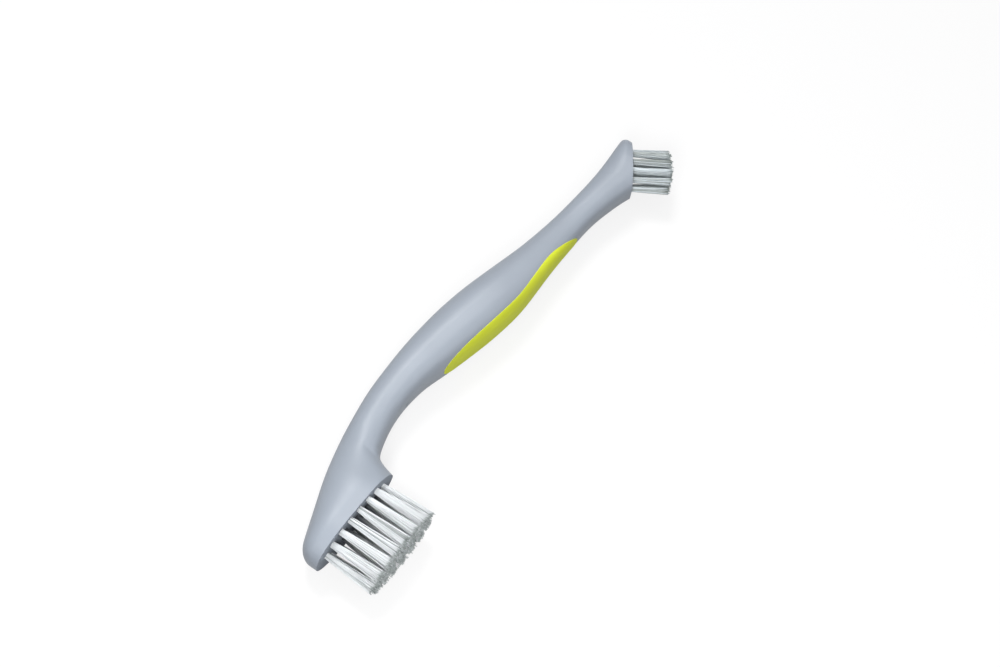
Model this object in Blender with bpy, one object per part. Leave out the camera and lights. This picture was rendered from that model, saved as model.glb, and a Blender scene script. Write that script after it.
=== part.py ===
"""Double-ended dish brush: a moulded plastic handle with a big oval brush head at one end, a small
slanted one at the other, and a soft grip let into its belly.

The brush lies on its side, as it does on a table, and is symmetric about the level plane through the
middle of its width. +X runs along the big bristle face towards the small head, +Y towards the back of
the brush, so that the big bristles point along -Y, and +Z is up. The origin is the middle of the flat
on the underside of the big head, on which the brush lies. Every size is in metres.
"""

import math

import bmesh
import bpy
import numpy as np
from mathutils import Matrix, Vector

# The big head. Its flats are the level patches on both sides, and the brush lies on one of them.
HEAD_LENGTH = 0.047
HEAD_WIDTH = 0.022
HEAD_OVAL = 2.3  # 2 is an ellipse, and more is a fuller oval
HEAD_FLAT_RELIEF = 0.0005  # how much of the oval's bulge the flats take off, on each side
HEAD_FLAT_HEIGHT = 0.0035  # from the bristle face to the middle of the flats
TOE_RADIUS = 0.005
END_HALF_WIDTH = 0.0008  # of the narrowest section at the toe and at the heel
HEEL_CORNER = 0.0030  # reach of the rounded inner corner between the heel and the neck
HEEL_CORNER_HEIGHT = 0.0084
HEEL_FULLNESS = 2.4  # of the head's oval at that height, where it flares into the neck
HEEL_FLARE = 3.0  # how fast it opens above that height
HEEL_ROUNDING = 0.5  # of the line where that flare meets the neck, as a share of its width
HEEL_ROUNDING_REACH = 0.010  # it grows to that from the shoulder on
HEEL_SOFT_REACHES = (0.0150, 0.0120, 0.0060)  # around that corner the skin is evened out
HEEL_SOFT_ROUNDS = 5
HEEL_SOFT_SHARE = 0.5
SHOULDER_X = 0.012  # from here the neck is narrower than the head below it
TOE_X = -HEAD_LENGTH / 2
HEEL_X = HEAD_LENGTH / 2

# The handle's stretches, from the big head's heel to the middle of the small bristle face
HEEL_TO_NECK = 0.0265
NECK_TO_GRIP = 0.048
GRIP_TO_WAIST = 0.057
WAIST_TO_TIP = 0.0308
NECK_X = HEEL_X + HEEL_TO_NECK
GRIP_X = NECK_X + NECK_TO_GRIP
WAIST_X = GRIP_X + GRIP_TO_WAIST
TIP_FACE_X = WAIST_X + WAIST_TO_TIP
HEAD_END_X = HEEL_X + 0.4 * HEEL_TO_NECK  # behind this the section is the handle's

# The small head. Its bristle face is slanted, and is given by its middle, its slant and its oval.
TIP_FACE_HEIGHT = 0.0053
TIP_SLANT = math.radians(34.4)
TIP_LENGTH = 0.0236
TIP_WIDTH = 0.0136
TIP_OVAL = 2.2
TIP_NOSE_DEPTH = 0.0036  # from the end of the face up to the back
TIP_NOSE_RADIUS = 0.0026
TIP_NOSE_HALF_WIDTH = 0.0006
FACE_EDGE_RADIUS = 0.0005
TIP_REACH = TIP_LENGTH / 2 * math.cos(TIP_SLANT)
TIP_ROOT_X = TIP_FACE_X - TIP_REACH
NOSE_X = TIP_FACE_X + TIP_REACH
NOSE_HEIGHT = TIP_FACE_HEIGHT + TIP_LENGTH / 2 * math.sin(TIP_SLANT) + TIP_NOSE_DEPTH

# Side view of the handle: x, and the height above the big bristle face.
NECK_BELLY = 0.0133
NECK_DEPTH = 0.0143
GRIP_BELLY = 0.0048
GRIP_DEPTH = 0.0209
WAIST_BELLY = 0.0037
WAIST_DEPTH = 0.0118
BACK_LINE = [
    (TOE_X, 0.0077),
    (0.35 * TOE_X, 0.0134),
    (0.47 * HEEL_X, 0.0203),
    (HEEL_X + 0.25 * HEEL_TO_NECK, 0.0248),
    (NECK_X, NECK_BELLY + NECK_DEPTH),
    (NECK_X + 0.37 * NECK_TO_GRIP, 0.0282),
    (NECK_X + 0.69 * NECK_TO_GRIP, 0.0275),
    (GRIP_X, GRIP_BELLY + GRIP_DEPTH),
    (GRIP_X + 0.30 * GRIP_TO_WAIST, 0.0221),
    (GRIP_X + 0.61 * GRIP_TO_WAIST, 0.0183),
    (WAIST_X, WAIST_BELLY + WAIST_DEPTH),
    (WAIST_X + 0.65 * WAIST_TO_TIP, 0.0145),
    (NOSE_X, NOSE_HEIGHT),
]
BELLY_LINE = [
    (HEEL_X + HEEL_CORNER, HEEL_CORNER_HEIGHT),
    (HEEL_X + 0.32 * HEEL_TO_NECK, 0.0103),
    (HEEL_X + 0.62 * HEEL_TO_NECK, 0.0123),
    (NECK_X, NECK_BELLY),
    (NECK_X + 0.19 * NECK_TO_GRIP, 0.0128),
    (NECK_X + 0.48 * NECK_TO_GRIP, 0.0097),
    (NECK_X + 0.77 * NECK_TO_GRIP, 0.0068),
    (GRIP_X, GRIP_BELLY),
    (GRIP_X + 0.26 * GRIP_TO_WAIST, 0.0034),
    (GRIP_X + 0.63 * GRIP_TO_WAIST, 0.0041),
    (WAIST_X, WAIST_BELLY),
    (WAIST_X + 0.36 * WAIST_TO_TIP, 0.0020),
    (TIP_ROOT_X, -0.0005),
]
UNDER_HEAD = -0.006  # the form runs on below both bristle faces, which are then cut flat
UNDER_HEEL = -0.0015
UNDER_HEEL_REACH = 0.006
UNDER_TIP = 0.004
TIP_CUT_REACH = 0.006

# Top view of the handle: x, and half its width, from the big head's heel to the small head.
NECK_WIDTH = 0.0152
GRIP_WIDTH = 0.022
WAIST_WIDTH = 0.0118
WIDTH_LINE = [
    (HEEL_X, 0.0090),
    (HEAD_END_X, 0.0080),
    (NECK_X, NECK_WIDTH / 2),
    (NECK_X + 0.29 * NECK_TO_GRIP, 0.0084),
    (NECK_X + 0.62 * NECK_TO_GRIP, 0.0102),
    (NECK_X + 0.87 * NECK_TO_GRIP, GRIP_WIDTH / 2),
    (GRIP_X + 0.11 * GRIP_TO_WAIST, GRIP_WIDTH / 2),
    (GRIP_X + 0.42 * GRIP_TO_WAIST, 0.0092),
    (GRIP_X + 0.70 * GRIP_TO_WAIST, 0.0070),
    (WAIST_X, WAIST_WIDTH / 2),
    (WAIST_X + 0.49 * WAIST_TO_TIP, 0.0062),
    (TIP_FACE_X, TIP_WIDTH / 2),
]

# Cross-sections: 2 is an ellipse, and more is a fuller form with tighter corners.
BACK_FULLNESS = 2.1
BELLY_FULLNESS = 2.9
HEAD_WALL_FULLNESS = 4.5
SIDE_TRIM = 1.01  # the fullest part of both sides is cut flat by this factor
HANDLE_WIDEST = 0.45  # height of the widest line between the belly and the back
TIP_WIDEST = 0.25
TOE_WIDEST = 0.55

# The soft grip, let into the belly. It is an egg-shaped oval, with its long end towards the small head.
INLAY_SHORT_END = 0.0338
INLAY_LONG_END = 0.0435
INLAY_WIDTH = 0.0170
INLAY_OVAL = 2.4
INLAY_DEPTH = 0.0034
INLAY_END_HALF_WIDTH = 0.0003
INLAY_WIDEST_X = GRIP_X + 0.006

# Tufts stand in oval rings: two on the big face, one inside the other, and one on the small face, with
# a row inside it. A ring's margins run from the head's rim to the middle of the tufts. The big face has
# a tuft at the toe end of its outer ring, and at the heel end of its inner one.
MAIN_RING_COUNT = 15
MAIN_TOE_MARGIN = 0.0064
MAIN_HEEL_MARGIN = 0.0060
MAIN_SIDE_MARGIN = 0.0030
MAIN_INNER_COUNT = 8
MAIN_RING_STEP = 0.0052  # from the outer ring to the inner one
MAIN_TUFT_WIDTH = 0.0027
MAIN_TUFT_SPREAD = 0.0046  # its width at the cut ends
MAIN_BRISTLE = 0.0212
MAIN_HOLE_DEPTH = 0.0062
TIP_RING_COUNT = 10
TIP_END_MARGIN = 0.0036
TIP_SIDE_MARGIN = 0.0031
TIP_ROW_COUNT = 2
TIP_ROW_PITCH = 0.0044
TIP_TUFT_WIDTH = 0.0024
TIP_TUFT_SPREAD = 0.0033
TIP_BRISTLE = 0.0142
TIP_HOLE_DEPTH = 0.0042
STRAND_TAPER = 0.72  # width of a strand's end, against its root
STRAND_BEND = 0.4  # share of its length at which a strand spreads outwards
STRAND_CURVE = 1.3

# The anchor is the flat metal strip that pins a folded tuft into its hole.
ANCHOR_THICKNESS = 0.00035
ANCHOR_HEIGHT = 0.0014
ANCHOR_FOLD = 0.0008  # bristle below the anchor

CLEARANCE = 0.00025
RING_POINTS = 48
END_STATIONS = 11
CORNER_STATIONS = 9
HANDLE_STATIONS = 38
STATION_CROWDING = 1.25  # above 1 the stations lie closer together behind the heel
FACE_EDGE_STEPS = 2
INLAY_STATIONS = 25
HOLE_SIDES = 12
TUFT_SIDES = 6  # of the inner ring of a tuft's grid, and the outer ring has twice as many
RING_STEPS = 2000  # along a ring of tufts, to measure how long it is
FACE_ANGLE = 35  # degrees, above which an edge between two faces is drawn sharp
FAR = 0.05  # how far a cutter reaches past what it cuts
WELD = 1e-6

MIDDLE_Z = HEAD_WIDTH / 2
FACE_Y = -HEAD_FLAT_HEIGHT
ANCHOR_MIDDLE = -MAIN_HOLE_DEPTH + 2 * CLEARANCE + ANCHOR_FOLD + ANCHOR_HEIGHT / 2


def clear_scene():
    for obj in list(bpy.data.objects):
        bpy.data.objects.remove(obj)


def material(name, color, roughness, metallic=0.0):
    made = bpy.data.materials.new(name)
    made.use_nodes = True
    shader = made.node_tree.nodes["Principled BSDF"]
    shader.inputs["Base Color"].default_value = (*color, 1)
    shader.inputs["Roughness"].default_value = roughness
    shader.inputs["Metallic"].default_value = metallic
    made.diffuse_color = (*color, 1)
    return made


def mesh_of(bm, name):
    mesh = bpy.data.meshes.new(name)
    bm.to_mesh(mesh)
    bm.free()
    return mesh


def add_object(name, mesh, look=None):
    obj = bpy.data.objects.new(name, mesh)
    bpy.context.scene.collection.objects.link(obj)
    if look and not mesh.materials:
        mesh.materials.append(look)
    return obj


def add_helper(name, mesh):
    obj = add_object(name, mesh)
    obj.hide_render = True
    obj.display_type = "WIRE"
    return obj


def add_boolean(obj, operation, other):
    cut = obj.modifiers.new(other.name, "BOOLEAN")
    cut.operation = operation
    cut.solver = "EXACT"
    cut.object = other


def smooth_mesh(mesh):
    mesh.shade_smooth()
    mesh.set_sharp_from_angle(angle=math.radians(FACE_ANGLE))


def through(points, x):
    """The smooth line through the points at x. It is level where they turn, so it never overshoots."""
    xs, ys = np.array(points).T
    steps = np.diff(xs)
    rises = np.diff(ys) / steps
    slopes = np.concatenate([rises[:1], np.zeros(len(xs) - 2), rises[-1:]])
    for i, (before, after) in enumerate(zip(rises[:-1], rises[1:]), start=1):
        if before * after > 0:
            slopes[i] = 2 * before * after / (before + after)
    i = int(np.clip(np.searchsorted(xs, x) - 1, 0, len(steps) - 1))
    t = (x - xs[i]) / steps[i]
    if t < 0:
        return ys[i] + slopes[i] * (x - xs[i])
    if t > 1:
        return ys[i + 1] + slopes[i + 1] * (x - xs[i + 1])
    start = (1 + 2 * t) * (1 - t) ** 2 * ys[i] + t * (1 - t) ** 2 * steps[i] * slopes[i]
    end = t * t * (3 - 2 * t) * ys[i + 1] - t * t * (1 - t) * steps[i] * slopes[i + 1]
    return start + end


def ease(t):
    t = min(max(t, 0.0), 1.0)
    return t * t * (3 - 2 * t)


def blend(low, high, share):
    return low + (high - low) * share


def soft_least(first, second, rounding):
    """The smaller of two values. Where they are closer than the rounding, it goes a little lower."""
    near = max(rounding - abs(first - second), 0.0)
    return min(first, second) - (near**2 / (4 * rounding) if near else 0.0)


def oval(share, fullness):
    """Half width of a unit oval at this share of its half length."""
    return max(0.0, 1 - min(abs(share), 1.0) ** fullness) ** (1 / fullness)


def round_off(distance, radius):
    """How far a rounded end of this radius has dropped, at this distance from its very end."""
    if distance >= radius:
        return 0.0
    return radius - math.sqrt(radius**2 - (radius - distance) ** 2)


def tip_face_height(x):
    return TIP_FACE_HEIGHT + (x - TIP_FACE_X) * math.tan(TIP_SLANT)


def back_height(x):
    drop = round_off(x - TOE_X, TOE_RADIUS) + round_off(NOSE_X - x, TIP_NOSE_RADIUS)
    return through(BACK_LINE, x) - drop


def belly_height(x):
    """Lowest line of the form. Behind the heel it rises steeply, as a rounded inner corner."""
    if x < HEEL_X:
        return blend(UNDER_HEAD, UNDER_HEEL, ease(1 - (HEEL_X - x) / UNDER_HEEL_REACH))
    if x < HEEL_X + HEEL_CORNER:
        rise = math.sqrt(1 - (1 - (x - HEEL_X) / HEEL_CORNER) ** 2)
        return blend(UNDER_HEEL, HEEL_CORNER_HEIGHT, rise)
    if x > TIP_ROOT_X:
        return BELLY_LINE[-1][1] - UNDER_TIP * ease((x - TIP_ROOT_X) / TIP_REACH)
    return through(BELLY_LINE, x)


def heel_reach(height):
    """How far back the big head reaches at this height above its face."""
    if height > HEEL_CORNER_HEIGHT:
        return HEEL_X + HEEL_CORNER + HEEL_FLARE * (height - HEEL_CORNER_HEIGHT)
    level = math.sqrt(1 - (max(height, 0.0) / HEEL_CORNER_HEIGHT) ** 2)
    return HEEL_X + HEEL_CORNER * (1 - level)


def head_half_width(x, height):
    """Half width of the big head's oval at this height. Towards the heel it opens into the neck."""
    reach = heel_reach(height) if x > 0 else HEEL_X
    opening = ease(height / HEEL_CORNER_HEIGHT) if x > 0 else 0.0
    outline = oval(x / reach, blend(HEAD_OVAL, HEEL_FULLNESS, opening))
    wide = (HEAD_WIDTH / 2 + HEAD_FLAT_RELIEF) * outline
    return min(max(wide, END_HALF_WIDTH), HEAD_WIDTH / 2)


def body_half_width(x):
    """Half width of the handle at its widest."""
    if x < SHOULDER_X:
        return head_half_width(x, 0.0)
    if x > TIP_FACE_X:
        nose = TIP_WIDTH / 2 * oval((x - TIP_FACE_X) / TIP_REACH, TIP_OVAL)
        return max(nose, TIP_NOSE_HALF_WIDTH)
    return through([(SHOULDER_X, head_half_width(SHOULDER_X, 0.0)), *WIDTH_LINE], x)


def head_share(x):
    """1 on the big head, 0 on the handle behind it."""
    return 1 - ease((x - SHOULDER_X) / (HEAD_END_X - SHOULDER_X))


def widest_height(x):
    """Height at which the section at x is widest."""
    back, face = back_height(x), tip_face_height(x)
    behind_head = max(x, HEAD_END_X)
    in_handle = blend(belly_height(behind_head), back_height(behind_head), HANDLE_WIDEST)
    in_head = min(HEAD_FLAT_HEIGHT, TOE_WIDEST * back)
    in_tip = blend(face, back, TIP_WIDEST)
    height = blend(in_handle, in_head, head_share(x))
    return blend(height, in_tip, ease((x - TIP_ROOT_X) / TIP_REACH))


def section(x):
    """Ring of points around the handle at x: a rounded back, flattened sides and a fuller belly."""
    belly, back, widest = belly_height(x), back_height(x), widest_height(x)
    half_width = body_half_width(x)
    behind_head = ease((x - HEEL_X) / HEEL_TO_NECK)
    rounding = HEEL_ROUNDING * ease((x - SHOULDER_X) / HEEL_ROUNDING_REACH)
    belly_fullness = blend(BELLY_FULLNESS, HEAD_WALL_FULLNESS, head_share(x))
    ring = []
    for angle in np.linspace(0, 2 * math.pi, RING_POINTS, endpoint=False):
        up, out = math.cos(angle), math.sin(angle)
        power = 2 / (BACK_FULLNESS if up > 0 else belly_fullness)
        rise = abs(up) ** power * (back - widest if up > 0 else belly - widest)
        side = min(1.0, abs(out) ** power * SIDE_TRIM) * half_width
        narrowing = soft_least(1.0, head_half_width(x, widest + rise) / half_width, rounding)
        side *= blend(narrowing, 1.0, behind_head)
        ring.append((x, FACE_Y + widest + rise, MIDDLE_Z + math.copysign(side, out)))
    return ring


def stations():
    """Where the sections lie along x: close together at both ends and behind the heel."""
    quarter = np.linspace(0, math.pi / 2, END_STATIONS)
    toe = TOE_X * np.cos(quarter[:-1])
    head = HEEL_X * np.sin(quarter)
    corner = HEEL_X + HEEL_CORNER * (1 - np.cos(np.linspace(0, math.pi / 2, CORNER_STATIONS)[1:]))
    handle_start = HEEL_X + HEEL_CORNER
    shares = np.linspace(0, 1, HANDLE_STATIONS)[1:] ** STATION_CROWDING
    handle = handle_start + (TIP_FACE_X - handle_start) * shares
    nose = TIP_FACE_X + TIP_REACH * np.sin(quarter[1:])
    return np.concatenate([toe, head, corner, handle, nose])


def skin(bm, rings):
    """Closed surface over the rings, which all have as many points."""
    rows = [[bm.verts.new(point) for point in ring] for ring in rings]
    count = len(rows[0])
    for first, second in zip(rows, rows[1:]):
        for i in range(count):
            j = (i + 1) % count
            bm.faces.new([first[i], first[j], second[j], second[i]])
    bm.faces.new(rows[0][::-1])
    bm.faces.new(rows[-1])
    bmesh.ops.recalc_face_normals(bm, faces=bm.faces)


def soften_heel(bm):
    """Evens out the skin around the inner corner between the heel and the neck."""
    corner = Vector((HEEL_X + HEEL_CORNER, FACE_Y + HEEL_CORNER_HEIGHT))
    for reach in HEEL_SOFT_REACHES:
        near = [v for v in bm.verts if (v.co.xy - corner).length < reach]
        for _ in range(HEEL_SOFT_ROUNDS):
            bmesh.ops.smooth_vert(
                bm, verts=near, factor=HEEL_SOFT_SHARE, use_axis_x=True, use_axis_y=True, use_axis_z=True
            )


def face_frame(along, outward, place):
    """Matrix of a bristle face: X along it, Z out of it along its bristles."""
    turned = Matrix((along, outward.cross(along), outward)).transposed()
    return Matrix.Translation(place) @ turned.to_4x4()


def main_face_frame():
    return face_frame(Vector((1, 0, 0)), Vector((0, -1, 0)), Vector((0, FACE_Y, MIDDLE_Z)))


def tip_face_frame():
    along = Vector((math.cos(TIP_SLANT), math.sin(TIP_SLANT), 0))
    outward = Vector((math.sin(TIP_SLANT), -math.cos(TIP_SLANT), 0))
    return face_frame(along, outward, Vector((TIP_FACE_X, FACE_Y + TIP_FACE_HEIGHT, MIDDLE_Z)))


def cut_face(bm, weight, frame, in_reach):
    """Cuts the form off flat at the face, where in_reach allows, and weights the new face's rim."""
    verts = [v for v in bm.verts if in_reach(v.co.x)]
    reached = set(verts)
    edges = [e for e in bm.edges if reached.issuperset(e.verts)]
    faces = [f for f in bm.faces if reached.issuperset(f.verts)]
    place, outward = frame.translation, frame.col[2].to_3d()
    bmesh.ops.bisect_plane(
        bm,
        geom=verts + edges + faces,
        dist=WELD,
        plane_co=place,
        plane_no=outward,
        clear_outer=True,
    )
    rim = [e for e in bm.edges if e.is_boundary]
    bmesh.ops.contextual_create(bm, geom=rim)
    for edge in rim:
        edge[weight] = 1.0


def handle_form():
    """The handle before its pocket and holes, with both bristle faces cut flat."""
    bm = bmesh.new()
    weight = bm.edges.layers.float.new("bevel_weight_edge")
    skin(bm, [section(x) for x in stations()])
    soften_heel(bm)
    cut_face(bm, weight, main_face_frame(), lambda x: x < HEAD_END_X)
    cut_face(bm, weight, tip_face_frame(), lambda x: x > TIP_ROOT_X - TIP_CUT_REACH)
    bmesh.ops.recalc_face_normals(bm, faces=bm.faces)
    return mesh_of(bm, "handle_form")


def round_face_rims(obj):
    bevel = obj.modifiers.new("face_rims", "BEVEL")
    bevel.limit_method = "WEIGHT"
    bevel.width = FACE_EDGE_RADIUS
    bevel.segments = FACE_EDGE_STEPS


def inlay_half_width(x):
    reach = INLAY_SHORT_END if x < INLAY_WIDEST_X else INLAY_LONG_END
    return INLAY_WIDTH / 2 * oval((x - INLAY_WIDEST_X) / reach, INLAY_OVAL)


def inlay_mesh(name, inset):
    """Prism with the grip's outline, from below the belly up to the pocket's floor, smaller by inset."""
    shares = (1 - np.cos(np.linspace(0, math.pi, INLAY_STATIONS))) / 2
    start = INLAY_WIDEST_X - INLAY_SHORT_END + inset
    end = INLAY_WIDEST_X + INLAY_LONG_END - inset
    rings = []
    for x in start + (end - start) * shares:
        half = max(inlay_half_width(x) - inset, INLAY_END_HALF_WIDTH)
        low = FACE_Y - FAR
        high = FACE_Y + belly_height(x) + INLAY_DEPTH - inset
        corners = [(low, -half), (low, half), (high, half), (high, -half)]
        rings.append([(x, y, MIDDLE_Z + z) for y, z in corners])
    bm = bmesh.new()
    skin(bm, rings)
    return mesh_of(bm, name)


def ring_places(count, start, end, half_width):
    """Points on an ellipse along X from start to end, all as far apart along it. The first is at start."""
    middle, half_length = (start + end) / 2, (end - start) / 2
    fine = np.linspace(0, 2 * math.pi, RING_STEPS + 1)
    line = np.column_stack([middle - half_length * np.cos(fine), half_width * np.sin(fine)])
    run = np.concatenate([[0], np.cumsum(np.linalg.norm(np.diff(line, axis=0), axis=1))])
    marks = run[-1] * np.arange(count) / count
    return list(zip(np.interp(marks, run, line[:, 0]), np.interp(marks, run, line[:, 1])))


def row_places(count, pitch):
    return [((i - (count - 1) / 2) * pitch, 0.0) for i in range(count)]


def main_places():
    start, end = TOE_X + MAIN_TOE_MARGIN, HEEL_X - MAIN_HEEL_MARGIN
    half_width = HEAD_WIDTH / 2 - MAIN_SIDE_MARGIN
    step = MAIN_RING_STEP
    inner = ring_places(MAIN_INNER_COUNT, end - step, start + step, half_width - step)
    return ring_places(MAIN_RING_COUNT, start, end, half_width) + inner


def tip_places():
    half_length = TIP_LENGTH / 2 - TIP_END_MARGIN
    half_width = TIP_WIDTH / 2 - TIP_SIDE_MARGIN
    ring = ring_places(TIP_RING_COUNT, -half_length, half_length, half_width)
    return ring + row_places(TIP_ROW_COUNT, TIP_ROW_PITCH)


def hole_cutter(name, frame, places, tuft_width, depth):
    """One blind hole for each tuft, as one helper."""
    bm = bmesh.new()
    height = depth + 2 * FACE_EDGE_RADIUS
    radius = tuft_width / 2 + CLEARANCE
    for x, y in places:
        bmesh.ops.create_cone(
            bm,
            cap_ends=True,
            segments=HOLE_SIDES,
            radius1=radius,
            radius2=radius,
            depth=height,
            matrix=frame @ Matrix.Translation((x, y, height / 2 - depth)),
        )
    return add_helper(name, mesh_of(bm, name))


def circle(radius, count):
    angles = np.linspace(0, 2 * math.pi, count, endpoint=False)
    return [(radius * math.cos(a), radius * math.sin(a)) for a in angles]


def tuft_grid(radius):
    """Points in a disc, middle first and rim last, and its triangles: roots of strands, and the rest."""
    rim_sides = 2 * TUFT_SIDES
    points = [(0.0, 0.0), *circle(radius / 2, TUFT_SIDES), *circle(radius, rim_sides)]
    roots, fillers = [], []
    for i in range(TUFT_SIDES):
        inner, next_inner = 1 + i, 1 + (i + 1) % TUFT_SIDES
        rim = [1 + TUFT_SIDES + (2 * i + k) % rim_sides for k in range(3)]
        odd = i % 2 == 1
        (roots if odd else fillers).append((0, inner, next_inner))
        roots.append((inner, rim[0], rim[1]))
        fillers.append((inner, rim[1], next_inner))
        (fillers if odd else roots).append((next_inner, rim[1], rim[2]))
    return points, roots, fillers


def add_strand(bm, root, middle, spread, length):
    """Three-sided strand on the root triangle. Its end is flat, and spread away from the tuft's axis."""
    below = root
    offsets = [np.array(v.co[:2]) - middle for v in root]
    for share in (STRAND_BEND, 1.0):
        moved = middle * blend(1.0, spread, share**STRAND_CURVE)
        thin = blend(1.0, STRAND_TAPER, share)
        above = [bm.verts.new((*(moved + offset * thin), length * share)) for offset in offsets]
        for i in range(3):
            j = (i + 1) % 3
            bm.faces.new([below[i], below[j], above[j], above[i]])
        below = above
    bm.faces.new(below)


def tuft_mesh(name, width, tip_width, length, depth):
    """A tuft: a solid plug in its hole, and strands that spread towards their cut ends."""
    points, roots, fillers = tuft_grid(width / 2)
    bottom = CLEARANCE - depth
    bm = bmesh.new()
    top = [bm.verts.new((x, y, 0)) for x, y in points]
    rim = top[1 + TUFT_SIDES :]
    floor = [bm.verts.new((v.co.x, v.co.y, bottom)) for v in rim]
    for i in range(len(rim)):
        j = (i + 1) % len(rim)
        bm.faces.new([rim[j], rim[i], floor[i], floor[j]])
    bm.faces.new(floor[::-1])
    for corners in fillers:
        bm.faces.new([top[k] for k in corners])
    middles = [np.mean([points[k] for k in corners], axis=0) for corners in roots]
    outermost = max(float(np.linalg.norm(middle)) for middle in middles)
    spread = (tip_width / 2 - (width / 2 - outermost) * STRAND_TAPER) / outermost
    for corners, middle in zip(roots, middles):
        add_strand(bm, [top[k] for k in corners], middle, spread, length)
    bmesh.ops.recalc_face_normals(bm, faces=bm.faces)
    return mesh_of(bm, name)


def box_mesh(name, size, height):
    bm = bmesh.new()
    place = Matrix.Translation((0, 0, height))
    bmesh.ops.create_cube(bm, size=1.0, matrix=place @ Matrix.Diagonal((*size, 1)))
    return mesh_of(bm, name)


def slotted_tuft_mesh(name):
    """The big head's tuft, with the slot across its plug that the anchor lies in."""
    plain = tuft_mesh(name, MAIN_TUFT_WIDTH, MAIN_TUFT_SPREAD, MAIN_BRISTLE, MAIN_HOLE_DEPTH)
    whole = add_helper(name + "_whole", plain)
    thickness = ANCHOR_THICKNESS + 2 * CLEARANCE
    size = (thickness, 2 * MAIN_TUFT_WIDTH, ANCHOR_HEIGHT + 2 * CLEARANCE)
    slot = add_helper(name + "_slot", box_mesh(name + "_slot", size, ANCHOR_MIDDLE))
    add_boolean(whole, "DIFFERENCE", slot)
    bpy.context.view_layer.update()
    evaluated = whole.evaluated_get(bpy.context.evaluated_depsgraph_get())
    mesh = bpy.data.meshes.new_from_object(evaluated)
    bpy.data.objects.remove(whole)
    bpy.data.objects.remove(slot)
    return mesh


def place_all(prefix, mesh, frame, places, look):
    """One object for each place on a face, all sharing the mesh."""
    for number, (x, y) in enumerate(places, start=1):
        obj = add_object(f"{prefix}_{number:02d}", mesh, look)
        obj.matrix_world = frame @ Matrix.Translation((x, y, 0))


def make_handle(plastic):
    form = handle_form()
    body = add_object("handle_body", form, plastic)
    round_face_rims(body)
    add_boolean(body, "DIFFERENCE", add_helper("grip_pocket", inlay_mesh("grip_pocket", 0.0)))
    main_face, tip_face = main_face_frame(), tip_face_frame()
    holes = [
        hole_cutter("main_holes", main_face, main_places(), MAIN_TUFT_WIDTH, MAIN_HOLE_DEPTH),
        hole_cutter("tip_holes", tip_face, tip_places(), TIP_TUFT_WIDTH, TIP_HOLE_DEPTH),
    ]
    for cutter in holes:
        add_boolean(body, "DIFFERENCE", cutter)
    smooth_mesh(form)
    return form


def make_grip(form, rubber):
    """The soft grip fills its pocket up to the handle's own skin."""
    grip = add_object("soft_grip", inlay_mesh("soft_grip", CLEARANCE), rubber)
    add_boolean(grip, "INTERSECT", add_helper("grip_skin", form.copy()))
    smooth_mesh(grip.data)


def make_tufts(nylon, brass):
    main_face, tip_face = main_face_frame(), tip_face_frame()
    place_all("main_tuft", slotted_tuft_mesh("main_tuft"), main_face, main_places(), nylon)
    anchor_size = (ANCHOR_THICKNESS, MAIN_TUFT_WIDTH, ANCHOR_HEIGHT)
    anchor = box_mesh("main_anchor", anchor_size, ANCHOR_MIDDLE)
    place_all("main_anchor", anchor, main_face, main_places(), brass)
    tip_tuft = tuft_mesh("tip_tuft", TIP_TUFT_WIDTH, TIP_TUFT_SPREAD, TIP_BRISTLE, TIP_HOLE_DEPTH)
    place_all("tip_tuft", tip_tuft, tip_face, tip_places(), nylon)


def main():
    clear_scene()
    plastic = material("handle_plastic", (0.30, 0.335, 0.385), 0.38)
    rubber = material("grip_rubber", (0.45, 0.53, 0.015), 0.55)
    nylon = material("bristle_nylon", (0.80, 0.83, 0.84), 0.45)
    brass = material("anchor_brass", (0.72, 0.55, 0.28), 0.35, 1.0)
    form = make_handle(plastic)
    make_grip(form, rubber)
    make_tufts(nylon, brass)


main()
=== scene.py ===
"""Studio picture of a double-ended dish brush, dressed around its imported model.

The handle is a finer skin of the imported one's form. Every tuft is built anew from single bristles,
each folded in its hole as real ones are. All sizes are in metres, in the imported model's frame: the
brush lies on its side, +X runs along the big bristle face towards the small head, +Y towards the
back of the brush, and +Z is up. Colours are linear.
"""

import math
import random

import bmesh
import bpy
import numpy as np
from mathutils import Matrix, Vector
from mathutils.bvhtree import BVHTree


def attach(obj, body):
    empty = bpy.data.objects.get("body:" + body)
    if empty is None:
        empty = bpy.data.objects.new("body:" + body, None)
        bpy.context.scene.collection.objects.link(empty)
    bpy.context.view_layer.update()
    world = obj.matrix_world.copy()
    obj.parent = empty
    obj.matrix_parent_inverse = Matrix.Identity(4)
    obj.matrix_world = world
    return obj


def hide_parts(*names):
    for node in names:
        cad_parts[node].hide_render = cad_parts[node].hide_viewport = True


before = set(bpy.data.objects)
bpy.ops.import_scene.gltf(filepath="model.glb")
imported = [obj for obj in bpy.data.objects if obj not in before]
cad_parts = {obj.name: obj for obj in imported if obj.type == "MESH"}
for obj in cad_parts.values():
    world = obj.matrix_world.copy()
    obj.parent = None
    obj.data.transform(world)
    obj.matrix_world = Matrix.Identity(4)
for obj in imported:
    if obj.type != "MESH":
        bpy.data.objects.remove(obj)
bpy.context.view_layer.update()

# The camera of the photograph: it looks at a point of the handle's axis from this direction.
IMAGE_WIDTH = 1000
CAMERA_TARGET = Vector((0.09635, 0.0001, 0.011))
CAMERA_AZIMUTH = math.radians(-155.7)
CAMERA_ELEVATION = math.radians(60)
CAMERA_ROLL = math.radians(-12.404)
CAMERA_DISTANCE = 1.5
PIXELS_PER_METRE = 2700  # at the target
SENSOR_WIDTH = 36

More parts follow.
